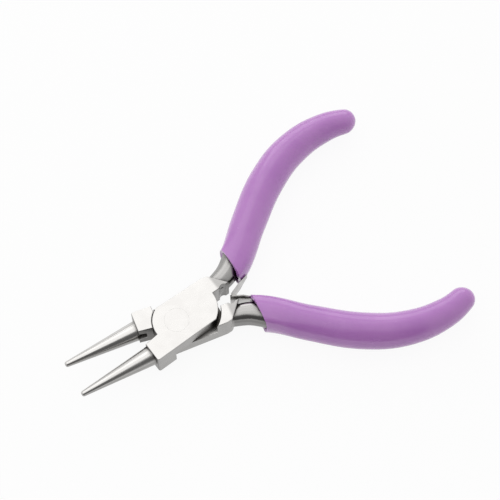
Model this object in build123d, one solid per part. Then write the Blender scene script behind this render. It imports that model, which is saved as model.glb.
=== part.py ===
from build123d import *

import math
import os

# Round nose pliers, in millimetres, modelled spring-open as they lie on a bench.
# +X runs along the centre line towards the jaw tips, +Y is across, +Z is up through
# the joint. The origin is on the pivot axis, on the underside of the joint.
#
# The two forged halves are one shape used twice: a half has its jaw on the +Y side,
# its handle on the -Y side and its lap plate in the upper layer of the joint. Turned
# over about the X axis it becomes the other half. Each is drawn with the jaws closed
# and then swung open by half of the opening angle.

# Joint
joint_thickness = 8.8
joint_front_half_width = 7.05
joint_rear_half_width = 6.55
handle_side_inset = 0.2
lap_gap = 0.1
edge_gap = 0.15
opening_angle = 14.5
plate_front_radius = 7.1
plate_front_corner_angle = 62.0
plate_rear_radius = 9.6
plate_rear_centre_x = -3.7
plate_rear_centre_y = -1.0
shoulder_front_x = 11.5
open_stop_gap = 0.3
inner_face_gap_front = 0.75
inner_face_gap_back = 0.25
joint_edge_round = 0.25
shoulder_corner_round = 0.6

# Joint root, where the flat joint steps down to the round neck
root_side_x = -13.2
root_outer_x = -14.9
root_inner_x = -19.0
root_inner_gap = 0.6
root_outer_inset = 0.35
root_corner_round = 1.6

# Pivot rivet
rivet_radius = 2.5
rivet_head_radius = 3.6
rivet_head_depth = 1.1
rivet_fit_gap = 0.02
rivet_running_gap = 0.05

# Jaw cones
cone_length = 22.8
cone_base_radius = 2.95
cone_tip_radius = 0.8
cone_tip_round = 0.65
cone_root_depth = 2.0
closed_tip_gap = 0.1

# Neck and tang of the +Y handle with the jaws closed: centre line points, and the
# width and height at shares of its length
tang_points = (
    (-14.6, 3.55), (-18.6, 3.95), (-21.4, 4.75), (-24.2, 6.3),
    (-36.0, 14.6), (-49.3, 22.3), (-61.4, 26.2), (-72.5, 26.3),
)
tang_profile = (
    (0.0, 5.0, 6.4), (0.07, 5.9, 7.0), (0.14, 6.6, 7.2),
    (0.4, 7.2, 6.8), (0.75, 6.6, 6.2), (1.0, 4.6, 4.6),
)
tang_corner_share = 0.42
tang_section_count = 22

# Dipped sleeve of the +Y handle: centre line points and radii at shares of its length
sleeve_points = (
    (-20.4, 4.0), (-25.3, 6.2), (-36.0, 14.0), (-49.3, 22.2),
    (-61.4, 26.2), (-73.4, 26.2), (-79.7, 24.2),
)
sleeve_profile = (
    (0.0, 4.75), (0.25, 5.25), (0.45, 5.45), (0.63, 5.25), (0.83, 4.5), (1.0, 3.75),
)
sleeve_section_count = 18
sleeve_mouth_x = -22.9
sleeve_mouth_lean = 3.0
sleeve_fit_gap = 0.05
closed_sleeve_gap = 0.4

# Return spring, a flat strip bent into a V
spring_thickness = 0.5
spring_height = 6.0
spring_bend_radius = 0.6
spring_vertex_x = -16.2
spring_leg_length = 10.6
spring_half_angle = 27.0
spring_slot_gap = 0.15
spring_groove_radius = 1.3

mid_plane = joint_thickness / 2
half_opening = opening_angle / 2


def polar(radius, degrees):
    """Point at a radius and an angle about the pivot."""
    turn = math.radians(degrees)
    return (radius * math.cos(turn), radius * math.sin(turn))


def side_y(x):
    """Half width of the joint, which narrows evenly from the shoulder to the root."""
    share = (shoulder_front_x - x) / (shoulder_front_x - root_side_x)
    return joint_front_half_width + share * (joint_rear_half_width - joint_front_half_width)


def handle_side_y(x):
    """Half width of the joint on its handle side, a little under the jaw side."""
    return side_y(x) - handle_side_inset


def circle_x(radius, centre_x, centre_y, y, side):
    """X of a circle's point at height y, on its front (+1) or rear (-1) side."""
    return centre_x + side * math.sqrt(radius**2 - (y - centre_y) ** 2)


def plate_rear_x(y):
    """X of the lap plate's rear edge at a distance across the joint."""
    return circle_x(plate_rear_radius, plate_rear_centre_x, plate_rear_centre_y, y, -1)


def plate_rear_corner():
    """Point where the lap plate's rear edge meets the joint's straight side."""
    slope = (joint_front_half_width - joint_rear_half_width) / (shoulder_front_x - root_side_x)
    drop = side_y(plate_rear_centre_x) - plate_rear_centre_y
    square = 1 + slope**2
    back = (slope * drop - math.sqrt(square * plate_rear_radius**2 - drop**2)) / square
    x = plate_rear_centre_x + back
    return (x, side_y(x))


def front_corner_angle():
    """Angle about the pivot of the lap plate's front corner, on its straight side."""
    if plate_front_radius * math.sin(math.radians(plate_front_corner_angle)) < handle_side_y(0):
        return plate_front_corner_angle
    return math.degrees(math.asin(handle_side_y(0) / plate_front_radius))


def shoulder_step_x():
    """X of the step behind a shoulder, where the other lap plate's corner stops."""
    corner_radius = handle_side_y(0) / math.sin(math.radians(front_corner_angle()))
    return polar(corner_radius, front_corner_angle() - opening_angle)[0] + open_stop_gap


def joint_outline():
    """Plan of a half's upper layer: jaw shoulder, lap plate and handle root in one."""
    rear_corner = plate_rear_corner()
    crotch_x = plate_rear_x(-root_inner_gap)
    rear_middle_y = (rear_corner[1] - root_inner_gap) / 2
    corner_y = -handle_side_y(0)
    corner_x = -corner_y / math.tan(math.radians(front_corner_angle()))
    inner_back_x = circle_x(plate_front_radius, 0, 0, inner_face_gap_back, 1)
    jaw_side = Polyline(
        (inner_back_x, inner_face_gap_back),
        (shoulder_front_x, inner_face_gap_front),
        (shoulder_front_x, side_y(shoulder_front_x)),
        rear_corner,
    )
    plate_rear = ThreePointArc(
        rear_corner,
        (plate_rear_x(rear_middle_y), rear_middle_y),
        (crotch_x, -root_inner_gap),
    )
    handle_side = Polyline(
        (crotch_x, -root_inner_gap),
        (root_inner_x, -root_inner_gap),
        (root_outer_x, -handle_side_y(root_outer_x) + root_outer_inset),
        (root_side_x, -handle_side_y(root_side_x)),
        (corner_x, corner_y),
    )
    front_start = polar(plate_front_radius, -front_corner_angle())
    plate_front = ThreePointArc(
        front_start,
        polar(plate_front_radius, -front_corner_angle() / 2),
        (inner_back_x, inner_face_gap_back),
    )
    if math.dist(front_start, (corner_x, corner_y)) > lap_gap:
        handle_side += Line((corner_x, corner_y), front_start)
    outline = make_face(jaw_side + plate_rear + handle_side + plate_front)
    root_corners = outline.vertices().filter_by_position(Axis.X, root_inner_x, root_side_x)
    return fillet(root_corners.sort_by(Axis.Y)[:2], root_corner_round)


def lap_pocket():
    """Plan of the room that the other half's lap plate needs in the lower layer."""
    front = Circle(plate_front_radius + edge_gap)
    rear = Pos(plate_rear_centre_x, -plate_rear_centre_y) * Circle(plate_rear_radius + edge_gap)
    reach = 2 * joint_front_half_width
    front_strip = Pos(shoulder_step_x() / 2, reach / 2) * Rectangle(shoulder_step_x(), reach)
    rear_strip = Pos(plate_rear_centre_x, 0) * Rectangle(-2 * plate_rear_centre_x, 2 * reach)
    inner_strip = Pos(0, -reach / 2) * Rectangle(2 * shoulder_front_x, reach)
    ahead = Pos(shoulder_front_x / 2, 0) * Rectangle(shoulder_front_x, 2 * reach)
    return front + rear + front_strip + rear_strip + (inner_strip & ahead)


def spring_groove():
    """Upright groove in the inner face of the root, where the spring's bend sits."""
    groove = Cylinder(spring_groove_radius, 2 * joint_thickness)
    return Pos(spring_vertex_x - spring_bend_radius, 0, mid_plane) * groove


def joint_block():
    """Flat joint of one half: full thickness at shoulder and root, half at the plate."""
    outline = joint_outline()
    upper_base = mid_plane + lap_gap / 2
    lower = extrude(outline - lap_pocket(), amount=upper_base)
    upper = Pos(0, 0, upper_base) * extrude(outline, amount=joint_thickness - upper_base)
    block = upper + lower
    corners = block.edges().filter_by(Axis.Z).group_by(Axis.X)[-1].sort_by(Axis.Y)[-1:]
    block = fillet(corners, shoulder_corner_round)
    rims = block.faces().filter_by(Axis.Z).group_by(Axis.Z)
    return fillet(rims[-1].edges() + rims[0].edges(), joint_edge_round)


def jaw_cone():
    """Smooth tapered jaw, its inner side parallel to the centre line when closed."""
    height = cone_length + cone_root_depth
    slope = (cone_base_radius - cone_tip_radius) / cone_length
    root_radius = cone_base_radius + slope * cone_root_depth
    cone = Cone(
        root_radius,
        cone_tip_radius,
        height,
        align=(Align.CENTER, Align.CENTER, Align.MIN),
    )
    tip = cone.edges().sort_by(Axis.Z)[-1:]
    cone = fillet(tip, cone_tip_round)
    lean = math.atan(slope)
    start_x = shoulder_front_x - cone_root_depth
    start_y = root_radius * math.cos(lean) + closed_tip_gap / 2
    place = Plane(
        origin=(start_x, start_y, mid_plane),
        z_dir=(math.cos(lean), -math.sin(lean), 0),
        x_dir=(0, 0, 1),
    )
    return place * cone


def smooth_between(stations, share):
    """Sizes at a share of the length, on a smooth curve through the stations' sizes."""
    last = len(stations) - 1
    start = 0
    while start < last - 1 and share > stations[start + 1][0]:
        start += 1
    before, here = stations[max(start - 1, 0)], stations[start]
    after, beyond = stations[start + 1], stations[min(start + 2, last)]
    span = after[0] - here[0]
    t = (share - here[0]) / span
    sizes = []
    for low, size, high, top in zip(before[1:], here[1:], after[1:], beyond[1:]):
        slope_here = (high - low) / (after[0] - before[0]) * span
        slope_after = (top - size) / (beyond[0] - here[0]) * span
        step = size * (1 + 2 * t) * (1 - t) ** 2 + slope_here * t * (1 - t) ** 2
        sizes.append(step + high * t**2 * (3 - 2 * t) - slope_after * t**2 * (1 - t))
    return sizes


def stations_along(points, profile, count):
    """Upright planes square to a smooth line through plan points, with their sizes."""
    line = Spline(*[(x, y, mid_plane) for x, y in points])
    stations = []
    for index in range(count):
        share = index / (count - 1)
        tangent = line % share
        plane = Plane(origin=line @ share, x_dir=(-tangent.Y, tangent.X, 0), z_dir=tangent)
        stations.append((plane, smooth_between(profile, share)))
    return stations


def tang_loft(extra):
    """Neck and tang of the +Y handle, grown all round by an extra thickness."""
    sections = []
    for plane, (width, height) in stations_along(tang_points, tang_profile, tang_section_count):
        wide = width + 2 * extra
        high = height + 2 * extra
        sections.append(plane * RectangleRounded(wide, high, tang_corner_share * min(wide, high)))
    return loft(sections)


def rivet_hole(gap):
    """Cutter for the rivet's shank and its upper countersunk head."""
    shank = Cylinder(rivet_radius + gap, 2 * joint_thickness)
    head = Cone(
        rivet_radius + gap,
        rivet_head_radius + gap,
        rivet_head_depth + gap,
        align=(Align.CENTER, Align.CENTER, Align.MAX),
    )
    return shank + Pos(0, 0, joint_thickness) * head


def plier_half(hole_gap):
    """One forged half, drawn closed: jaw on +Y, handle on -Y, lap plate on top."""
    half = joint_block() + jaw_cone() - spring_groove()
    half = half + mirror(tang_loft(0), about=Plane.XZ)
    return half - rivet_hole(hole_gap)


def turned_over(shape):
    """The shape turned half a turn about the joint's lengthwise middle line."""
    return Pos(0, 0, joint_thickness) * (Rot(180, 0, 0) * shape)


def pivot_rivet():
    """Rivet with a countersunk head at each face of the joint, flush with both."""
    shank = Cylinder(
        rivet_radius,
        joint_thickness,
        align=(Align.CENTER, Align.CENTER, Align.MIN),
    )
    head = Cone(
        rivet_radius,
        rivet_head_radius,
        rivet_head_depth,
        align=(Align.CENTER, Align.CENTER, Align.MAX),
    )
    upper_head = Pos(0, 0, joint_thickness) * head
    return shank + upper_head + turned_over(upper_head)


def spring_path():
    """Middle line of the bent strip at rest, from one leg's tip to the other's."""
    reach = spring_leg_length * math.cos(math.radians(spring_half_angle))
    spread = spring_leg_length * math.sin(math.radians(spring_half_angle))
    tip_x = spring_vertex_x - reach
    return FilletPolyline(
        (tip_x, -spread, mid_plane),
        (spring_vertex_x, 0, mid_plane),
        (tip_x, spread, mid_plane),
        radius=spring_bend_radius,
    )


def spring_strip(extra):
    """The V spring, or with an extra thickness the room that it needs."""
    path = spring_path()
    tangent = path % 0
    plane = Plane(origin=path @ 0, x_dir=(-tangent.Y, tangent.X, 0), z_dir=tangent)
    section = plane * Rectangle(spring_thickness + 2 * extra, spring_height + 2 * extra)
    return sweep(section, path)


def sleeve():
    """Dipped sleeve of the +Y handle, closed end rounded, mouth cut across the neck."""
    stations = stations_along(sleeve_points, sleeve_profile, sleeve_section_count)
    end_plane, (end_radius,) = stations[-1]
    skin = loft([plane * Circle(radius) for plane, (radius,) in stations])
    skin = skin + Pos(end_plane.origin) * Sphere(end_radius)
    mouth = Plane(origin=(sleeve_mouth_x, 0, mid_plane), z_dir=(-1, 0, 0))
    skin = split(skin, bisect_by=mouth.rotated((0, 0, sleeve_mouth_lean)), keep=Keep.TOP)
    inner_flat = Plane(origin=(0, closed_sleeve_gap / 2, mid_plane), z_dir=(0, 1, 0))
    skin = split(skin, bisect_by=inner_flat, keep=Keep.TOP)
    return skin - tang_loft(sleeve_fit_gap)


def main():
    """Write one STEP file for each piece, in the rest pose."""
    os.makedirs("parts", exist_ok=True)
    open_a = Rot(0, 0, half_opening)
    open_b = Rot(0, 0, -half_opening)
    slots = spring_strip(spring_slot_gap)
    moving_sleeve = open_b * sleeve() - slots
    pieces = {
        "fixed_half": open_a * plier_half(rivet_fit_gap),
        "moving_half": open_b * turned_over(plier_half(rivet_running_gap)),
        "pivot_rivet": pivot_rivet(),
        "return_spring": spring_strip(0),
        "moving_sleeve": moving_sleeve,
        "fixed_sleeve": mirror(moving_sleeve, about=Plane.XZ),
    }
    for name, shape in pieces.items():
        shape.label = name
        export_step(shape, f"parts/{name}.step")
        print(name, round(shape.volume, 1), shape.bounding_box())


if __name__ == "__main__":
    main()
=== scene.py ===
import logging
import math
from collections.abc import Sequence
from dataclasses import dataclass
from enum import Enum

import bpy
from mathutils import Matrix, Vector


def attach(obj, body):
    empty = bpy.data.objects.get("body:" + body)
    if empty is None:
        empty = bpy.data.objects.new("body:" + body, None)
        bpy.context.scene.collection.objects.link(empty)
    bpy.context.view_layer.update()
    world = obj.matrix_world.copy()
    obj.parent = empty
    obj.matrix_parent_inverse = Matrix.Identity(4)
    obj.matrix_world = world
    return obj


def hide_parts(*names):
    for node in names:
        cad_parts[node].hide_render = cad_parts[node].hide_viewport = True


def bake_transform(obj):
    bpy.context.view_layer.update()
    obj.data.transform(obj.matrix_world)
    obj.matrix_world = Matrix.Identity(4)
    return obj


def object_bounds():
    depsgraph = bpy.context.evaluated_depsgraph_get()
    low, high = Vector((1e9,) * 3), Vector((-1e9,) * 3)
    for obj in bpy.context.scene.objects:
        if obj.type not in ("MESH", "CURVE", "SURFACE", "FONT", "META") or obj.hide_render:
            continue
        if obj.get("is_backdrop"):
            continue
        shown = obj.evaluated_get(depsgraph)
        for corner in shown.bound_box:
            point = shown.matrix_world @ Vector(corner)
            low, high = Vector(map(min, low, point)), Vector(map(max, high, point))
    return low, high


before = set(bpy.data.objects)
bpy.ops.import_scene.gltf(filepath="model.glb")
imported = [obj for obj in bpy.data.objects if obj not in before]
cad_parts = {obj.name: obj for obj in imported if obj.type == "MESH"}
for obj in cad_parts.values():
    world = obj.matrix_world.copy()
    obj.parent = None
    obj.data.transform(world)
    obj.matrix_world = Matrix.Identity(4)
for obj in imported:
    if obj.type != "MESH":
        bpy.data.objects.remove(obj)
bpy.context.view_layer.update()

# Round nose pliers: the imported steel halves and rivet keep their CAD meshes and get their
# finishes here, and the dipped sleeves and the return spring are modelled anew.

LOG = logging.getLogger("pliers")
MM = 0.001
HALF_OPENING = math.radians(7.25)
MID_HEIGHT = 4.4 * MM

Pair = tuple[float, float]
Triple = tuple[float, float, float]
Colour = Triple
Socket = bpy.types.NodeSocket
Value = float | Sequence[float] | Socket


class Side(Enum):
    """The two handles, by the side of the joint that they are on."""

    MOVING = 1
    FIXED = -1


# ---------------------------------------------------------------- modelling helpers


def start_clean() -> None:
    """Leave edit mode if a piece was left in it, and deselect everything."""
    if bpy.context.object and bpy.context.object.mode != "OBJECT":
        bpy.ops.object.mode_set(mode="OBJECT")
    bpy.ops.object.select_all(action="DESELECT")


def pick(obj: bpy.types.Object) -> None:
    """Make an object the active one and the only selected one.

    Args:
        obj: the piece to work on.
    """
    start_clean()
    bpy.context.view_layer.objects.active = obj
    obj.select_set(True)


def named_active(name: str) -> bpy.types.Object:
    """Name the object that an operator has just added.

    Args:
        name: the piece's name, also given to its data.

    Returns:
        The active object.
    """
    obj = bpy.context.active_object
    obj.name = name
    obj.data.name = name
    return obj


def apply_modifiers(obj: bpy.types.Object) -> None:
    """Apply an object's modifiers in their order.

    Args:
        obj: the piece, which is left active and selected.
    """
    pick(obj)
    for modifier in list(obj.modifiers):
        bpy.ops.object.modifier_apply(modifier=modifier.name)


def settle(obj: bpy.types.Object) -> None:
    """Write an object's turn and scale into its mesh and put its origin at zero."""
    pick(obj)
    bpy.ops.object.transform_apply(location=True, rotation=True, scale=True)


def recalculate_normals(obj: bpy.types.Object) -> None:
    """Merge an object's doubles and turn all of its faces outwards.

    Args:
        obj: the piece to clean.
    """
    pick(obj)
    bpy.ops.object.mode_set(mode="EDIT")
    bpy.ops.mesh.select_all(action="SELECT")
    bpy.ops.mesh.remove_doubles(threshold=1e-6)
    bpy.ops.mesh.normals_make_consistent(inside=False)
    bpy.ops.object.mode_set(mode="OBJECT")


def smooth_by_angle(obj: bpy.types.Object, degrees: float) -> None:
    """Shade an object smooth, but sharp where faces meet at more than an angle."""
    pick(obj)
    bpy.ops.object.shade_smooth_by_angle(angle=math.radians(degrees))


def round_edges(
    obj: bpy.types.Object, name: str, width: float, segments: int, degrees: float
) -> None:
    """Add a bevel to the edges that are sharper than an angle.

    Args:
        obj: the piece.
        name: the modifier's name.
        width: the bevel's width.
        segments: the number of its steps.
        degrees: the smallest angle that is bevelled.
    """
    bevel = obj.modifiers.new(name, "BEVEL")
    bevel.width = width
    bevel.segments = segments
    bevel.limit_method = "ANGLE"
    bevel.angle_limit = math.radians(degrees)


# ---------------------------------------------------------------- node helpers


class NodeSheet:
    """A node tree with short calls for adding, setting and linking nodes."""

    def __init__(self, tree: bpy.types.NodeTree) -> None:
        """Wrap a node tree, which is emptied first."""
        self.tree = tree
        tree.nodes.clear()

    def add(
        self, kind: str, inputs: dict[str | int, Value] | None = None, **settings: object
    ) -> bpy.types.Node:
        """Add a node.

        Args:
            kind: the node's type name without its ShaderNode prefix.
            inputs: plain values or output sockets, by input name or place.
            **settings: properties of the node itself.

        Returns:
            The new node.
        """
        prefix = "" if kind.startswith("Node") else "ShaderNode"
        node = self.tree.nodes.new(prefix + kind)
        for key, value in settings.items():
            setattr(node, key, value)
        for key, value in (inputs or {}).items():
            self.feed(node.inputs[key], value)
        return node

    def feed(self, socket: Socket, value: Value) -> None:
        """Set an input to a plain value, or link it to an output.

        Args:
            socket: the input.
            value: the plain value or the output socket.
        """
        if isinstance(value, Socket):
            self.tree.links.new(value, socket)
        elif socket.type == "RGBA" and len(value) == 3:
            socket.default_value = (*value, 1.0)
        else:
            socket.default_value = value

    def group(
        self, tree: bpy.types.NodeTree, inputs: dict[str | int, Value]
    ) -> bpy.types.NodeOutputs:
        """Add a node group and return its outputs."""
        return self.add("Group", inputs, node_tree=tree).outputs

    def maths(
        self, operation: str, first: Value, second: Value = 0.0, clamp: bool = False
    ) -> Socket:
        """Add a Math node.

        Args:
            operation: the node's operation.
            first: its first value or socket.
            second: its second value or socket.
            clamp: whether the result stays between 0 and 1.

        Returns:
            The node's output socket.
        """
        node = self.add("Math", {0: first, 1: second}, operation=operation, use_clamp=clamp)
        return node.outputs[0]

    def span(
        self, value: Value, low: float, high: float, to_low: float = 0.0, to_high: float = 1.0
    ) -> Socket:
        """Map a range of a value smoothly onto another range.

        Args:
            value: the socket to read.
            low: the value that gives to_low.
            high: the value that gives to_high.
            to_low: the result at and before low.
            to_high: the result at and after high.

        Returns:
            The Map Range node's output socket.
        """
        numbers = {
            "Value": value,
            "From Min": low,
            "From Max": high,
            "To Min": to_low,
            "To Max": to_high,
        }
        node = self.add("MapRange", numbers, interpolation_type="SMOOTHSTEP")
        return node.outputs["Result"]

    def blend(self, share: Value, first: Value, second: Value) -> Socket:
        """Mix two colours.

        Args:
            share: how much of the second colour is used, as a value or socket.
            first: the first colour or socket.
            second: the second colour or socket.

        Returns:
            The Mix node's colour output.
        """
        node = self.add("Mix", data_type="RGBA", blend_type="MIX")
        for place, value in zip((0, 6, 7), (share, first, second)):
            self.feed(node.inputs[place], value)
        return node.outputs[2]

    def noise(
        self, vector: Value, scale: Value, detail: float, roughness: float = 0.5
    ) -> Socket:
        """Add a Noise Texture and return its Fac output."""
        inputs = {"Vector": vector, "Scale": scale, "Detail": detail, "Roughness": roughness}
        return self.add("TexNoise", inputs).outputs["Fac"]

    def surface(self, inputs: dict[str | int, Value]) -> None:
        """Add a Principled BSDF and link it to the material's output."""
        shader = self.add("BsdfPrincipled", inputs)
        self.add("OutputMaterial", {"Surface": shader.outputs[0]})


def new_material(name: str) -> tuple[bpy.types.Material, NodeSheet]:
    """Start a material with an empty node tree.

    Args:
        name: the material's name.

    Returns:
        The material and its sheet.
    """
    material = bpy.data.materials.new(name)
    material.use_nodes = True
    return material, NodeSheet(material.node_tree)


def new_group(name: str, inputs: Sequence[tuple], outputs: Sequence[tuple]) -> tuple:
    """Start a shader node group with named sockets.

    Args:
        name: the group's name.
        inputs: name, socket type and default of each input.
        outputs: name and socket type of each output.

    Returns:
        The group, its sheet, its inputs to read and its outputs to feed.
    """
    tree = bpy.data.node_groups.new(name, "ShaderNodeTree")
    for label, kind, default in inputs:
        socket = tree.interface.new_socket(label, in_out="INPUT", socket_type=kind)
        if default is not None:
            socket.default_value = default
    for label, kind in outputs:
        tree.interface.new_socket(label, in_out="OUTPUT", socket_type=kind)
    sheet = NodeSheet(tree)
    given = sheet.add("NodeGroupInput").outputs
    made = sheet.add("NodeGroupOutput").inputs
    return tree, sheet, given, made


FLOAT, VECTOR, COLOUR = "NodeSocketFloat", "NodeSocketVector", "NodeSocketColor"

# Polishing lines: shares of the fine and coarse lines in the height, how much coarser the
# coarse ones are, and how far the lines move the roughness.
FINE_SHARE, COARSE_SHARE = 0.65, 0.35
COARSE_RATIO = 0.22
ROUGHNESS_SWING = 0.22

# Uneven tone: the part of the noise over which the light colour turns into the dark one.
TONE_SPAN: Pair = (0.35, 0.68)

# Handling marks: how crooked and wide the lines are, and the patches that have them.
WOBBLE_SCALE = 90.0
WOBBLE: Triple = (0.004, 0.004, 0.004)
LINE_WIDTH = 0.035
PATCH_SCALE = 140.0
PATCH_SPAN: Pair = (0.58, 0.72)


@dataclass(frozen=True)
class SharedEffects:
    """Node groups that more than one finish uses."""

    grain: bpy.types.NodeTree
    cloud: bpy.types.NodeTree
    scuff: bpy.types.NodeTree

    @classmethod
    def build(cls) -> "SharedEffects":
        """Build each group once."""
        return cls(cls._grain(), cls._cloud(), cls._scuff())

    @staticmethod
    def _grain() -> bpy.types.NodeTree:
        """Make fine polishing lines, drawn out along one direction.

        Returns:
            The node group.
        """
        inputs = [
            ("Vector", VECTOR, None),
            ("Stretch", VECTOR, (1.0, 1.0, 1.0)),
            ("Fineness", FLOAT, 900.0),
            ("Strength", FLOAT, 1.0),
        ]
        outputs = [("Height", FLOAT), ("Roughness Shift", FLOAT)]
        tree, sheet, given, made = new_group("polishing_lines", inputs, outputs)
        stretched = {0: given["Vector"], 1: given["Stretch"]}
        drawn = sheet.add("VectorMath", stretched, operation="MULTIPLY").outputs[0]
        slow = sheet.maths("MULTIPLY", given["Fineness"], COARSE_RATIO)
        fine = sheet.noise(drawn, given["Fineness"], detail=4.0, roughness=0.65)
        coarse = sheet.noise(drawn, slow, detail=2.0)
        fine = sheet.maths("MULTIPLY", fine, FINE_SHARE)
        coarse = sheet.maths("MULTIPLY", coarse, COARSE_SHARE)
        centred = sheet.maths("SUBTRACT", sheet.maths("ADD", fine, coarse), 0.5)
        sheet.feed(made["Height"], sheet.maths("MULTIPLY", centred, given["Strength"]))
        sheet.feed(made["Roughness Shift"], sheet.maths("MULTIPLY", centred, ROUGHNESS_SWING))
        return tree

    @staticmethod
    def _cloud() -> bpy.types.NodeTree:
        """Make a soft uneven tone between two colours.

        Returns:
            The node group.
        """
        inputs = [
            ("Vector", VECTOR, None),
            ("Scale", FLOAT, 120.0),
            ("Light Colour", COLOUR, (0.8, 0.8, 0.8, 1.0)),
            ("Dark Colour", COLOUR, (0.5, 0.5, 0.5, 1.0)),
        ]
        outputs = [("Colour", COLOUR), ("Mask", FLOAT)]
        tree, sheet, given, made = new_group("uneven_tone", inputs, outputs)
        wide = sheet.noise(given["Vector"], given["Scale"], detail=5.0, roughness=0.6)
        mask = sheet.span(wide, *TONE_SPAN)
        sheet.feed(made["Colour"], sheet.blend(mask, given["Light Colour"], given["Dark Colour"]))
        sheet.feed(made["Mask"], mask)
        return tree

    @staticmethod
    def _scuff() -> bpy.types.NodeTree:
        """Make sparse short scratches from handling.

        Returns:
            The node group.
        """
        inputs = [("Vector", VECTOR, None), ("Scale", FLOAT, 260.0), ("Cover", FLOAT, 0.2)]
        tree, sheet, given, made = new_group("handling_marks", inputs, [("Mask", FLOAT)])
        place = given["Vector"]
        bend = sheet.add("TexNoise", {"Vector": place, "Scale": WOBBLE_SCALE, "Detail": 2.0})
        pull = sheet.add("VectorMath", {0: bend.outputs["Color"], 1: WOBBLE}, operation="MULTIPLY")
        moved = sheet.add("VectorMath", {0: place, 1: pull.outputs[0]}, operation="ADD")
        cells = sheet.add(
            "TexVoronoi",
            {"Vector": moved.outputs[0], "Scale": given["Scale"]},
            feature="DISTANCE_TO_EDGE",
        )
        lines = sheet.span(cells.outputs["Distance"], 0.0, LINE_WIDTH, 1.0, 0.0)
        kept = sheet.span(sheet.noise(place, PATCH_SCALE, detail=4.0, roughness=0.6), *PATCH_SPAN)
        marks = sheet.maths("MULTIPLY", lines, kept)
        sheet.feed(made["Mask"], sheet.maths("MULTIPLY", marks, given["Cover"]))
        return tree


# ---------------------------------------------------------------- finishes


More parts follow.
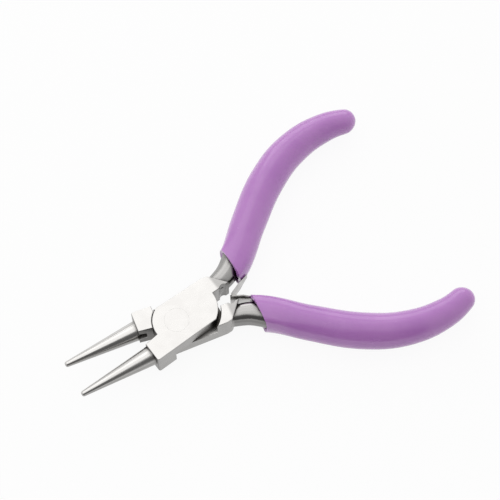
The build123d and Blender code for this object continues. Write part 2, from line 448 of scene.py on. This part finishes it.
@dataclass(frozen=True)
class SteelFinish:
    """Forged tool steel: linished flat joint, turned cones and a tumbled neck.

    Upright faces and the necks have a darker colour, a painted reflection of the dark
    surroundings that they would mirror. Recesses that the Ambient Occlusion node finds, and the
    jaw roots' inner and front walls, are blended towards a near-black colour: painted shade,
    and on those walls also a painted reflection of the dark surroundings that they would mirror.

    Attributes:
        name: the material's name.
        swing: how far the piece is turned from its place with the jaws closed, in radians.
        upright_span: how far a face looks up or down, from upright to flat.
        wall_span: the same, for the walls of the jaw roots.
        front_span: how far a face looks towards the jaw tips.
    """

    name: str
    swing: float
    light: Colour = (0.80, 0.785, 0.765)
    dark: Colour = (0.775, 0.758, 0.738)
    tone_scale: float = 210.0
    mark_scale: float = 420.0
    mark_cover: float = 0.35
    linish_stretch: Triple = (0.06, 1.0, 1.0)
    linish_fineness: float = 5200.0
    ring_stretch: Triple = (1.0, 0.05, 0.05)
    ring_fineness: float = 7200.0
    flat_roughness: float = 0.27
    cone_roughness: float = 0.15
    neck_roughness: float = 0.2
    spot_roughness: float = 0.035
    rub_roughness: float = 0.25
    tumbled_height: float = 0.6
    dent_depth: float = 0.8
    bump_strength: float = 0.5
    grain_height: float = 0.012 * MM
    # Painted reflection: how dark upright faces and the necks are made, for the dark surroundings
    # that they would mirror.
    side_shade: float = 0.43
    neck_shade: float = 0.6
    upright_span: Pair = (0.3, 0.98)
    # Painted shade in recesses: how far the occlusion looks, where it starts to darken, and the
    # near-black colour that it blends to.
    recess_reach: float = 3.0 * MM
    recess_span: Pair = (0.35, 0.9)
    recess_shade_colour: Colour = (0.06, 0.055, 0.05)
    cone_start: float = 11.8 * MM
    cone_ramp: float = 0.4 * MM
    neck_start: float = -14.5 * MM
    neck_ramp: float = 1.5 * MM
    # Painted shade at the jaw roots: where it starts, how fast it grows and how strong it gets, on
    # the inner and front walls.
    root_start: float = 4.5 * MM
    root_ramp: float = 1.5 * MM
    root_shade_strength: float = 0.8
    inner_span: Pair = (1.0 * MM, 2.2 * MM)
    wall_span: Pair = (0.5, 0.8)
    front_span: Pair = (0.6, 0.9)

    def build(self, effects: SharedEffects) -> bpy.types.Material:
        """Make the material.

        Args:
            effects: the shared node groups.

        Returns:
            The new material.
        """
        material, sheet = new_material(self.name)
        place = sheet.add("TexCoord").outputs
        turn = {"Vector": place["Object"], "Rotation": (0.0, 0.0, -self.swing)}
        turned = sheet.add("Mapping", turn).outputs[0]
        spot = sheet.add("SeparateXYZ", {0: turned}).outputs
        facing = sheet.add("SeparateXYZ", {0: place["Normal"]}).outputs
        along = spot["X"]
        on_cone = sheet.span(along, self.cone_start, self.cone_start + self.cone_ramp)
        on_neck = sheet.span(along, self.neck_start - self.neck_ramp, self.neck_start, 1.0, 0.0)

        def choose(flat: Value, cone: Value, neck: Value) -> Socket:
            """Pick a value by where it is.

            Args:
                flat: the value on the joint.
                cone: the value on the round jaws.
                neck: the value on the necks.

            Returns:
                The picked value's socket.
            """
            near = sheet.add("Mix", {0: on_cone, 2: flat, 3: cone}, data_type="FLOAT")
            picked = sheet.add("Mix", {0: on_neck, 2: near.outputs[0], 3: neck}, data_type="FLOAT")
            return picked.outputs[0]

        linish, rings = (
            sheet.group(effects.grain, {"Vector": turned, "Stretch": stretch, "Fineness": fineness})
            for stretch, fineness in (
                (self.linish_stretch, self.linish_fineness),
                (self.ring_stretch, self.ring_fineness),
            )
        )
        tone = sheet.group(
            effects.cloud,
            {
                "Vector": turned,
                "Scale": self.tone_scale,
                "Light Colour": self.light,
                "Dark Colour": self.dark,
            },
        )
        marks = sheet.group(
            effects.scuff, {"Vector": turned, "Scale": self.mark_scale, "Cover": self.mark_cover}
        )

        shift = choose(linish["Roughness Shift"], rings["Roughness Shift"], 0.0)
        base = choose(self.flat_roughness, self.cone_roughness, self.neck_roughness)
        spotted = sheet.maths("MULTIPLY", tone["Mask"], self.spot_roughness)
        rubbed = sheet.maths("MULTIPLY", marks["Mask"], self.rub_roughness)
        ground = sheet.maths("ADD", base, shift)
        rough = sheet.maths("ADD", ground, sheet.maths("ADD", spotted, rubbed), True)

        tumbled = sheet.maths("MULTIPLY", tone["Mask"], self.tumbled_height)
        height = choose(linish["Height"], rings["Height"], tumbled)
        dents = sheet.maths("MULTIPLY", marks["Mask"], self.dent_depth)
        relief = {
            "Strength": self.bump_strength,
            "Distance": self.grain_height,
            "Height": sheet.maths("SUBTRACT", height, dents),
        }
        bump = sheet.add("Bump", relief)

        # Painted reflection: upright faces and the necks are darkened, standing in for the dark
        # surroundings that they would mirror.
        upright = sheet.maths("ABSOLUTE", facing["Z"])
        shade = sheet.span(upright, *self.upright_span, self.side_shade, 1.0)
        neck_shade = sheet.span(on_neck, 0.0, 1.0, 1.0, self.neck_shade)
        shade = sheet.maths("MULTIPLY", shade, neck_shade)
        toned = sheet.add("VectorMath", {0: tone["Colour"], "Scale": shade}, operation="SCALE")

        # Painted shade: recesses that the Ambient Occlusion node finds, and the inner and front
        # walls near the jaw roots, are blended towards the near-black recess shade colour.
        recess = sheet.add("AmbientOcclusion", {"Distance": self.recess_reach}, samples=8)
        painted_recess_shade = sheet.span(recess.outputs["AO"], *self.recess_span, 1.0, 0.0)
        inner = sheet.span(sheet.maths("ABSOLUTE", spot["Y"]), *self.inner_span, 1.0, 0.0)
        inner = sheet.maths("MULTIPLY", inner, sheet.span(upright, *self.wall_span, 1.0, 0.0))
        front = sheet.span(facing["X"], *self.front_span)
        painted_wall_shade = sheet.maths("MAXIMUM", inner, front)
        root = sheet.span(along, self.root_start, self.root_start + self.root_ramp)
        before_cone = sheet.maths("SUBTRACT", self.root_shade_strength, on_cone, True)
        root = sheet.maths("MULTIPLY", root, before_cone)
        painted_recess_shade = sheet.maths("MAXIMUM", painted_recess_shade, sheet.maths("MULTIPLY", root, painted_wall_shade))

        sheet.surface(
            {
                "Base Color": sheet.blend(painted_recess_shade, toned.outputs[0], self.recess_shade_colour),
                "Metallic": 1.0,
                "Roughness": rough,
                "Normal": bump.outputs["Normal"],
            }
        )
        return material


@dataclass(frozen=True)
class VinylFinish:
    """Glossy dipped vinyl, with a slightly uneven skin and rubbed spots."""

    name: str
    light: Colour = (0.53, 0.228, 0.612)
    dark: Colour = (0.485, 0.192, 0.575)
    tone_scale: float = 90.0
    mark_scale: float = 300.0
    mark_cover: float = 0.3
    roughness: float = 0.2
    uneven_roughness: float = 0.06
    wave_scale: float = 130.0
    wave_height: float = 0.06 * MM
    pore_scale: float = 2600.0
    pore_share: float = 0.05
    bump_strength: float = 0.35
    refraction: float = 1.53
    coat: float = 0.6
    coat_roughness: float = 0.07
    depth_weight: float = 0.08
    depth_radius: Triple = (1.0, 0.5, 0.9)
    depth_scale: float = 0.8 * MM

    def build(self, effects: SharedEffects) -> bpy.types.Material:
        """Make the material.

        Args:
            effects: the shared node groups.

        Returns:
            The new material.
        """
        material, sheet = new_material(self.name)
        place = sheet.add("TexCoord").outputs["Object"]
        tone = sheet.group(
            effects.cloud,
            {
                "Vector": place,
                "Scale": self.tone_scale,
                "Light Colour": self.light,
                "Dark Colour": self.dark,
            },
        )
        marks = sheet.group(
            effects.scuff, {"Vector": place, "Scale": self.mark_scale, "Cover": self.mark_cover}
        )
        waves = sheet.noise(place, self.wave_scale, detail=2.0, roughness=0.45)
        pores = sheet.noise(place, self.pore_scale, detail=3.0, roughness=0.6)
        relief = {
            "Strength": self.bump_strength,
            "Distance": self.wave_height,
            "Height": sheet.maths("ADD", waves, sheet.maths("MULTIPLY", pores, self.pore_share)),
        }
        bump = sheet.add("Bump", relief)
        uneven = sheet.maths("MULTIPLY", tone["Mask"], self.uneven_roughness)
        skin = sheet.maths("ADD", uneven, self.roughness)
        sheet.surface(
            {
                "Base Color": tone["Colour"],
                "Roughness": sheet.maths("ADD", skin, marks["Mask"], True),
                "IOR": self.refraction,
                "Coat Weight": self.coat,
                "Coat Roughness": self.coat_roughness,
                "Subsurface Weight": self.depth_weight,
                "Subsurface Radius": self.depth_radius,
                "Subsurface Scale": self.depth_scale,
                "Normal": bump.outputs["Normal"],
            }
        )
        return material


@dataclass(frozen=True)
class StripFinish:
    """Bright rolled strip of the return spring, with its rolling lines. Its colours are kept darker
    than the joint's steel, as painted shade for the strip lying between the handles.
    """

    name: str
    # Painted shade: both colours are kept darker than the joint's steel.
    light: Colour = (0.50, 0.49, 0.48)
    dark: Colour = (0.36, 0.35, 0.34)
    tone_scale: float = 300.0
    line_stretch: Triple = (0.08, 0.08, 1.0)
    line_fineness: float = 4200.0
    line_height: float = 0.01 * MM
    bump_strength: float = 0.5
    roughness: float = 0.24

    def build(self, effects: SharedEffects) -> bpy.types.Material:
        """Make the material.

        Args:
            effects: the shared node groups.

        Returns:
            The new material.
        """
        material, sheet = new_material(self.name)
        place = sheet.add("TexCoord").outputs["Object"]
        lines = sheet.group(
            effects.grain,
            {"Vector": place, "Stretch": self.line_stretch, "Fineness": self.line_fineness},
        )
        tone = sheet.group(
            effects.cloud,
            {
                "Vector": place,
                "Scale": self.tone_scale,
                "Light Colour": self.light,
                "Dark Colour": self.dark,
            },
        )
        relief = {
            "Strength": self.bump_strength,
            "Distance": self.line_height,
            "Height": lines["Height"],
        }
        bump = sheet.add("Bump", relief)
        sheet.surface(
            {
                "Base Color": tone["Colour"],
                "Metallic": 1.0,
                "Roughness": sheet.maths("ADD", lines["Roughness Shift"], self.roughness, True),
                "Normal": bump.outputs["Normal"],
            }
        )
        return material


def dress(obj: bpy.types.Object, material: bpy.types.Material) -> None:
    """Give a piece one material in all of its slots.

    Args:
        obj: the piece.
        material: its finish.
    """
    if not obj.material_slots:
        obj.data.materials.append(material)
    for slot in obj.material_slots:
        slot.material = material


# ---------------------------------------------------------------- sub-assemblies


@dataclass
class SteelWork:
    """The two forged halves and the rivet, which keep their CAD meshes."""

    effects: SharedEffects

    def dress(self) -> None:
        """Give each steel node its finish."""
        for node, name, swing in (
            ("fixed_half", "steel_fixed_half", HALF_OPENING),
            ("moving_half", "steel_moving_half", -HALF_OPENING),
            ("pivot_rivet", "steel_rivet", HALF_OPENING),
        ):
            dress(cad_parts[node], SteelFinish(name, swing).build(self.effects))
            LOG.info("%s: dressed as %s", node, name)


@dataclass
class DippedSleeves:
    """Soft dipped sleeves, drawn once for the moving handle with the jaws closed.

    Attributes:
        effects: the shared node groups.
        centre_line: points of the handle's centre line, in millimetres.
        girth: share of the length and radius in millimetres, from the mouth on.
        dome_overshoot: extra part of a step that keeps the domed end's last ring open.
        outer_weight: how square the mouth's outer side is.
        inner_weight: what its inner side adds to that.
        closing_gap: what each sleeve keeps from the middle plane with the handles closed.
    """

    effects: SharedEffects
    centre_line: tuple[Pair, ...] = (
        (-20.4, 4.0), (-25.3, 6.2), (-36.0, 13.9), (-49.3, 22.05),
        (-61.4, 26.0), (-73.4, 25.9), (-79.7, 23.9), (-84.2, 21.6),
    )
    length: float = 65.45 * MM
    girth: tuple[Pair, ...] = (
        (0.0, 4.75), (0.08, 4.93), (0.17, 5.12), (0.25, 5.25), (0.35, 5.39), (0.45, 5.44),
        (0.54, 5.44), (0.63, 5.36), (0.73, 5.14), (0.83, 4.8), (0.92, 4.36), (1.0, 3.88),
    )
    dome_steps: int = 5
    dome_overshoot: float = 0.35
    rim_count: int = 24
    curve_steps: int = 48
    rounding_levels: int = 2
    wall: float = 1.15 * MM
    lip_round: float = 0.32 * MM
    lip_steps: int = 4
    lip_angle: float = 50.0
    mouth_x: float = -22.9 * MM
    mouth_lean: float = math.radians(3.0)
    mouth_squareness: float = 0.8
    mouth_fade: float = 15.0 * MM
    outer_weight: float = 0.35
    inner_weight: float = 0.65
    closing_gap: float = 0.06 * MM
    smooth_angle: float = 42.0

    def _rings(self) -> list[Pair]:
        """List the place and radius of each ring, with those of the domed end.

        Returns:
            The place along X and the radius of each ring, in metres.
        """
        rings = [(share * self.length, radius * MM) for share, radius in self.girth]
        end, last = rings[-1]
        for step in range(1, self.dome_steps + 1):
            turn = step / (self.dome_steps + self.dome_overshoot) * math.pi / 2
            rings.append((end + last * math.sin(turn), last * math.cos(turn)))
        return rings

    def _straight_skin(self) -> bpy.types.Object:
        """Draw the skin straight along X, from its open mouth to its domed end.

        Returns:
            The skin.
        """
        rings = self._rings()
        start_clean()
        bpy.ops.mesh.primitive_circle_add(
            vertices=self.rim_count,
            radius=rings[0][1],
            fill_type="NOTHING",
            rotation=(0.0, math.pi / 2, 0.0),
        )
        skin = named_active("moving_sleeve_skin")
        settle(skin)
        bpy.ops.object.mode_set(mode="EDIT")
        bpy.ops.mesh.select_all(action="SELECT")
        for (x_before, before), (x_here, here) in zip(rings, rings[1:]):
            move = {"value": (x_here - x_before, 0.0, 0.0)}
            bpy.ops.mesh.extrude_edges_move(TRANSFORM_OT_translate=move)
            bpy.ops.transform.resize(
                value=(1.0, here / before, here / before), center_override=(x_here, 0.0, 0.0)
            )
        bpy.ops.mesh.edge_face_add()
        bpy.ops.mesh.poke()
        bpy.ops.object.mode_set(mode="OBJECT")
        return skin

    def _guide(self) -> bpy.types.Object:
        """Draw the handle's centre line as a smooth curve.

        Returns:
            The curve.
        """
        start_clean()
        bpy.ops.curve.primitive_bezier_curve_add()
        guide = named_active("sleeve_guide")
        guide.data.dimensions = "2D"
        guide.data.resolution_u = self.curve_steps
        spline = guide.data.splines[0]
        spline.bezier_points.add(len(self.centre_line) - len(spline.bezier_points))
        for point, (x, y) in zip(spline.bezier_points, self.centre_line):
            point.co = (x * MM, y * MM, 0.0)
            point.handle_left_type = point.handle_right_type = "AUTO"
        return guide

    def _weigh_mouth(self, skin: bpy.types.Object) -> None:
        """Mark how square each point's ring is: most at the mouth's inner side.

        Args:
            skin: the straight skin.
        """
        group = skin.vertex_groups.new(name="mouth")
        for vertex in skin.data.vertices:
            fade = max(0.0, 1.0 - vertex.co.x / self.mouth_fade)
            inner = 0.5 - 0.5 * vertex.co.y / (self.girth[0][1] * MM)
            inner = min(1.0, max(0.0, inner))
            weight = fade * (self.outer_weight + self.inner_weight * inner)
            group.add([vertex.index], weight, "REPLACE")

    def _bend(self, skin: bpy.types.Object) -> None:
        """Bend the straight skin along the centre line and smooth it.

        Args:
            skin: the straight skin.
        """
        guide = self._guide()
        self._weigh_mouth(skin)
        square = skin.modifiers.new("square_mouth", "CAST")
        square.cast_type = "CUBOID"
        square.use_x = False
        square.size = self.girth[0][1] * MM
        square.factor = self.mouth_squareness
        square.vertex_group = "mouth"
        smooth = skin.modifiers.new("smooth", "SUBSURF")
        smooth.levels = smooth.render_levels = self.rounding_levels
        bend = skin.modifiers.new("bend", "CURVE")
        bend.object = guide
        bend.deform_axis = "POS_X"
        apply_modifiers(skin)
        bpy.data.objects.remove(guide)

    def _cut_mouth(self, skin: bpy.types.Object) -> None:
        """Cut the mouth across the neck, leaning a little back on the outer side.

        Args:
            skin: the bent skin.
        """
        pick(skin)
        bpy.ops.object.mode_set(mode="EDIT")
        bpy.ops.mesh.select_all(action="SELECT")
        bpy.ops.mesh.bisect(
            plane_co=(self.mouth_x, 0.0, 0.0),
            plane_no=(math.cos(self.mouth_lean), math.sin(self.mouth_lean), 0.0),
            clear_outer=True,
        )
        bpy.ops.object.mode_set(mode="OBJECT")

    def _press_flat(self, skin: bpy.types.Object) -> None:
        """Press the inner side flat where the two sleeves meet with the handles closed."""
        for vertex in skin.data.vertices:
            vertex.co.y = max(vertex.co.y, self.closing_gap)

    def _thicken(self, skin: bpy.types.Object) -> None:
        """Give the skin its wall and round the lip.

        Args:
            skin: the cut skin.
        """
        recalculate_normals(skin)
        wall = skin.modifiers.new("wall", "SOLIDIFY")
        wall.thickness = self.wall
        wall.offset = -1.0
        round_edges(skin, "lip", self.lip_round, self.lip_steps, self.lip_angle)
        apply_modifiers(skin)

    def build(self) -> None:
        """Model both sleeves, dress them and hand them to the frame."""
        skin = self._straight_skin()
        self._bend(skin)
        self._cut_mouth(skin)
        self._press_flat(skin)
        self._thicken(skin)
        finish = VinylFinish("dipped_vinyl").build(self.effects)
        mirror = Matrix.Diagonal((1.0, -1.0, 1.0, 1.0))
        swing = Matrix.Rotation(-HALF_OPENING, 4, "Z")
        open_up = Matrix.Translation((0.0, 0.0, MID_HEIGHT)) @ swing
        for side in Side:
            piece = skin.copy()
            piece.data = skin.data.copy()
            word = side.name.lower()
            piece.name = piece.data.name = f"{word}_dipped_sleeve"
            bpy.context.scene.collection.objects.link(piece)
            piece.data.transform(open_up if side is Side.MOVING else mirror @ open_up)
            if side is Side.FIXED:
                piece.data.flip_normals()
            smooth_by_angle(piece, self.smooth_angle)
            dress(piece, finish)
            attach(piece, f"{word}_handle")
            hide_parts(f"{word}_sleeve")
            LOG.info("%s: %d faces", piece.name, len(piece.data.polygons))
        bpy.data.objects.remove(skin)


@dataclass
class ReturnSpring:
    """Flat strip bent into a V behind the joint, its legs meant to reach under the sleeves.

    Attributes:
        effects: the shared node groups.
        vertex_x: where the legs' middle lines would meet.
        half_angle: the angle between a leg and -X.
        tip_height: the strip's height at its tips, from which it grows to its full height.
        taper_steps: the number of leg steps over which it grows.
        blend_reach: how far to each side of the middle the bending would be shared out; not used.
    """

    effects: SharedEffects
    thickness: float = 0.5 * MM
    height: float = 6.0 * MM
    bend_radius: float = 0.6 * MM
    vertex_x: float = -16.2 * MM
    leg_length: float = 9.0 * MM
    half_angle: float = math.radians(27.0)
    leg_steps: int = 6
    bend_steps: int = 10
    tip_height: float = 2.6 * MM
    taper_steps: int = 3
    edge_round: float = 0.09 * MM
    edge_steps: int = 3
    edge_angle: float = 60.0
    smooth_angle: float = 35.0
    blend_reach: float = 1.0 * MM

    def _widen(self, factor: float) -> None:
        """Scale the selected edge of the strip in height, about its middle."""
        middle = (0.0, 0.0, MID_HEIGHT)
        bpy.ops.transform.resize(value=(1.0, 1.0, factor), center_override=middle)

    def _strip(self) -> bpy.types.Object:
        """Extrude one leg, spin the bend and extrude the other leg.

        Returns:
            The strip, with sharp edges.
        """
        up = Vector((0.0, 0.0, 1.0))
        sweep = math.pi - 2 * self.half_angle
        outward = Vector((-math.cos(self.half_angle), math.sin(self.half_angle), 0.0))
        across = Vector((outward.y, -outward.x, 0.0))
        cut_back = self.bend_radius / math.tan(self.half_angle)
        corner = Vector((self.vertex_x, 0.0, MID_HEIGHT))
        bend_centre = corner - Vector((self.bend_radius / math.sin(self.half_angle), 0.0, 0.0))
        tip = corner + outward * self.leg_length
        bend_start = corner + outward * cut_back

        start_clean()
        bpy.ops.mesh.primitive_plane_add(size=1.0, location=(0.0, 0.0, 0.0))
        strip = named_active("v_return_spring")
        turn = Matrix((across, up, across.cross(up))).transposed().to_4x4()
        size = Matrix.Diagonal((self.thickness, self.tip_height, 1.0, 1.0))
        growth = (self.height / self.tip_height) ** (1.0 / self.taper_steps)
        strip.matrix_world = Matrix.Translation(tip) @ turn @ size
        settle(strip)
        bpy.ops.object.mode_set(mode="EDIT")
        bpy.ops.mesh.select_all(action="SELECT")
        stride = (bend_start - tip) / self.leg_steps
        for step in range(self.leg_steps):
            bpy.ops.mesh.extrude_region_move(TRANSFORM_OT_translate={"value": stride})
            if step < self.taper_steps:
                self._widen(growth)
        # Known fault: the angle has the wrong sign, so the bend turns the wrong way, and the leg
        # on the fixed side comes out thin and off its line.
        bpy.ops.mesh.spin(
            steps=self.bend_steps, angle=-sweep, center=bend_centre, axis=up, dupli=False
        )
        mirrored = Vector((stride.x, -stride.y, 0.0)) * -1.0
        for step in range(self.leg_steps):
            bpy.ops.mesh.extrude_region_move(TRANSFORM_OT_translate={"value": mirrored})
            if step >= self.leg_steps - self.taper_steps:
                self._widen(1.0 / growth)
        bpy.ops.object.mode_set(mode="OBJECT")
        return strip

    def build(self) -> None:
        """Model the bent strip and dress it."""
        strip = self._strip()
        recalculate_normals(strip)
        round_edges(strip, "edges", self.edge_round, self.edge_steps, self.edge_angle)
        apply_modifiers(strip)
        smooth_by_angle(strip, self.smooth_angle)
        dress(strip, StripFinish("spring_strip").build(self.effects))
        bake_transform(strip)
        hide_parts("return_spring")
        LOG.info("%s: %d faces", strip.name, len(strip.data.polygons))


# ---------------------------------------------------------------- studio


@dataclass(frozen=True)
class Softbox:
    """A soft rectangular light, which faces straight down until it is tilted.

    Attributes:
        name: the lamp's name.
        place: where its middle is.
        size: its long and short sides.
        turn: angle of its long side from +X, in degrees.
        radiance: how bright its face is, where 1 is white.
        tilt: how far it is tipped about its long side, in degrees.
    """

    name: str
    place: Triple
    size: Pair
    turn: float
    radiance: float
    tilt: float = 0.0

    def hang(self) -> None:
        """Add the lamp to the scene."""
        length, width = self.size
        data = bpy.data.lights.new(self.name, "AREA")
        data.shape = "RECTANGLE"
        data.size = length
        data.size_y = width
        data.energy = self.radiance * math.pi * length * width
        obj = bpy.data.objects.new(self.name, data)
        bpy.context.scene.collection.objects.link(obj)
        obj.location = self.place
        obj.rotation_euler = (math.radians(self.tilt), 0.0, math.radians(self.turn))


@dataclass
class Studio:
    """Pale floor, soft lights and the camera.

    Attributes:
        floor_glow: how bright the floor looks by itself to the camera and in mirrors.
        dark_side: the direction in which the room is darkest.
        room_levels: brightness of the room, from the far side (0) to the dark side (1).
    """

    floor_size: float = 3.0
    floor_colour: Colour = (0.93, 0.93, 0.93)
    floor_roughness: float = 0.75
    floor_glow: float = 0.93
    dark_side: Triple = (0.403, 0.735, 0.545)
    room_levels: tuple[Pair, ...] = (
        (0.0, 0.55), (0.25, 0.75), (0.5, 0.95), (0.62, 0.74),
        (0.86, 0.62), (0.91, 0.45), (0.935, 0.15), (1.0, 0.1),
    )
    softboxes: tuple[Softbox, ...] = (
        Softbox("overhead_softbox", (0.075, -0.135, 0.4), (0.7, 0.38), 49.0, 0.45),
        Softbox("back_softbox", (-0.27, -0.48, 0.24), (0.6, 0.3), -27.0, 1.0, tilt=62.0),
    )
    azimuth: float = 151.26
    elevation: float = 65.68
    roll: float = -0.8
    distance: float = 0.5309
    target: Triple = (-30.1 * MM, -10.5 * MM, MID_HEIGHT)
    lens: float = 129.6
    sensor_width: float = 36.0
    clip: Pair = (0.01, 10.0)

    def floor(self) -> None:
        """Lay the floor under the lowest point of the pliers."""
        start_clean()
        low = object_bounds()[0].z
        bpy.ops.mesh.primitive_plane_add(size=self.floor_size, location=(0.0, 0.0, low))
        floor = named_active("studio_floor")
        settle(floor)
        material, sheet = new_material("pale_floor")
        skin = {"Base Color": self.floor_colour, "Roughness": self.floor_roughness}
        paper = sheet.add("BsdfPrincipled", skin)
        glow = sheet.add("Emission", {"Color": (1.0, 1.0, 1.0), "Strength": 1.0})
        path = sheet.add("LightPath").outputs
        seen = sheet.maths("MAXIMUM", path["Is Camera Ray"], path["Is Glossy Ray"])
        seen = sheet.maths("MAXIMUM", seen, path["Is Transmission Ray"])
        seen = sheet.maths("MULTIPLY", seen, self.floor_glow)
        both = sheet.add("MixShader", {0: seen, 1: paper.outputs[0], 2: glow.outputs[0]})
        sheet.add("OutputMaterial", {"Surface": both.outputs[0]})
        dress(floor, material)
        floor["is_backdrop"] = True

    def world(self) -> None:
        """Surround the pliers with a pale room that is dark on one side."""
        world = bpy.data.worlds.new("studio_room")
        bpy.context.scene.world = world
        world.use_nodes = True
        sheet = NodeSheet(world.node_tree)
        direction = sheet.add("TexCoord").outputs["Generated"]
        ends = {0: direction, 1: self.dark_side}
        facing = sheet.add("VectorMath", ends, operation="DOT_PRODUCT").outputs["Value"]
        halved = sheet.add("Math", {0: facing, 1: 0.5, 2: 0.5}, operation="MULTIPLY_ADD")
        ramp = sheet.add("ValToRGB", {"Fac": halved.outputs[0]})
        elements = ramp.color_ramp.elements
        while len(elements) < len(self.room_levels):
            elements.new(0.5)
        for element, (position, level) in zip(elements, self.room_levels):
            element.position = position
            element.color = (level, level, level, 1.0)
        room = sheet.add("Background", {"Color": ramp.outputs["Color"], "Strength": 1.0})
        sheet.add("OutputWorld", {"Surface": room.outputs[0]})

    def camera(self) -> None:
        """Set the camera for a three-quarter view from above, jaws towards the viewer."""
        data = bpy.data.cameras.new("camera")
        data.sensor_width = self.sensor_width
        data.lens = self.lens
        data.clip_start, data.clip_end = self.clip
        camera = bpy.data.objects.new("camera", data)
        bpy.context.scene.collection.objects.link(camera)
        turn, rise = math.radians(self.azimuth), math.radians(self.elevation)
        level = math.cos(rise)
        back = Vector((math.sin(turn) * level, -math.cos(turn) * level, math.sin(rise)))
        right = Vector((math.cos(turn), math.sin(turn), 0.0))
        upright = Matrix((right, back.cross(right), back)).transposed()
        axes = upright @ Matrix.Rotation(math.radians(self.roll), 3, "Z")
        camera.rotation_mode = "QUATERNION"
        camera.rotation_quaternion = axes.to_quaternion()
        camera.location = Vector(self.target) + back * self.distance
        bpy.context.scene.camera = camera

    def build(self) -> None:
        """Set up the whole studio."""
        bpy.context.scene.view_settings.view_transform = "Standard"
        self.floor()
        self.world()
        for softbox in self.softboxes:
            softbox.hang()
        self.camera()
        LOG.info("studio ready")


def main() -> None:
    """Build the pliers' visible pieces and the studio around them."""
    logging.basicConfig(level=logging.INFO, format="%(name)s: %(message)s")
    effects = SharedEffects.build()
    SteelWork(effects).dress()
    DippedSleeves(effects).build()
    ReturnSpring(effects).build()
    Studio().build()


if __name__ == "__main__":
    main()
